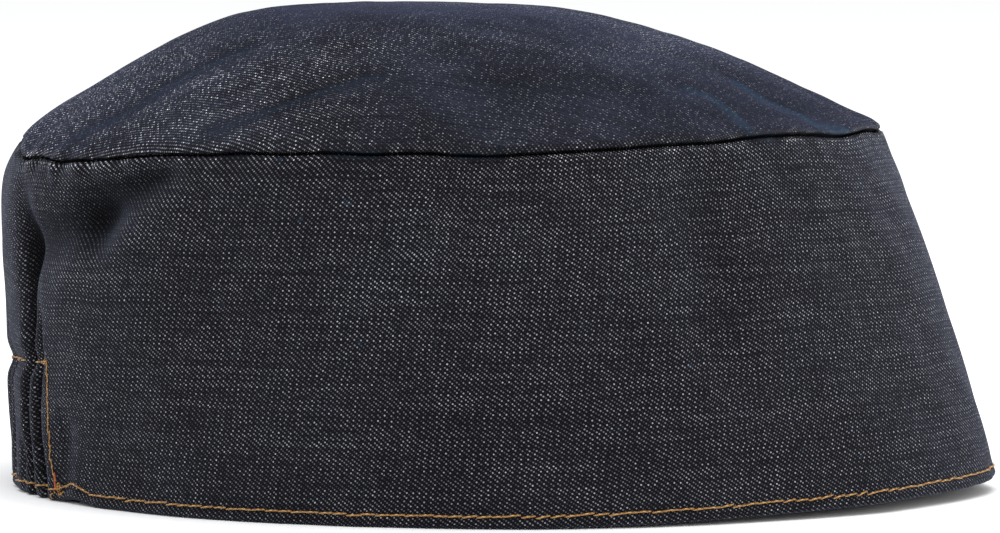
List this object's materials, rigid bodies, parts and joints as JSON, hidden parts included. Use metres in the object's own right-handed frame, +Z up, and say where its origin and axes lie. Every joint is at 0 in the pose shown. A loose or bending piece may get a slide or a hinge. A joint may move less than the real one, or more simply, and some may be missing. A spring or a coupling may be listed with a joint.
{
  "type": "chef skull cap",
  "caption": "Round denim chef's skull cap with a domed crown panel, a tall side band, a turned hem and a gathered elastic section at the back.",
  "frame": {"origin": "centre of the overall box in plan, on the surface that the hem rests on", "axes": "+X to the front of the cap, +Y to the wearer's left, +Z up"},
  "size_m": [0.2104, 0.1716, 0.1013],
  "materials": {
    "denim": "dark indigo twill, unwashed, white weft dots, matt with a slight blue sheen",
    "elastic": "plain white woven elastic, matt",
    "thread": "copper coloured jeans topstitching thread, satin"
  },
  "bodies": {
    "root": {"crown": "denim", "side_band": "denim", "elastic_casing": "denim", "back_elastic": "elastic"}
  },
  "joints": []
}
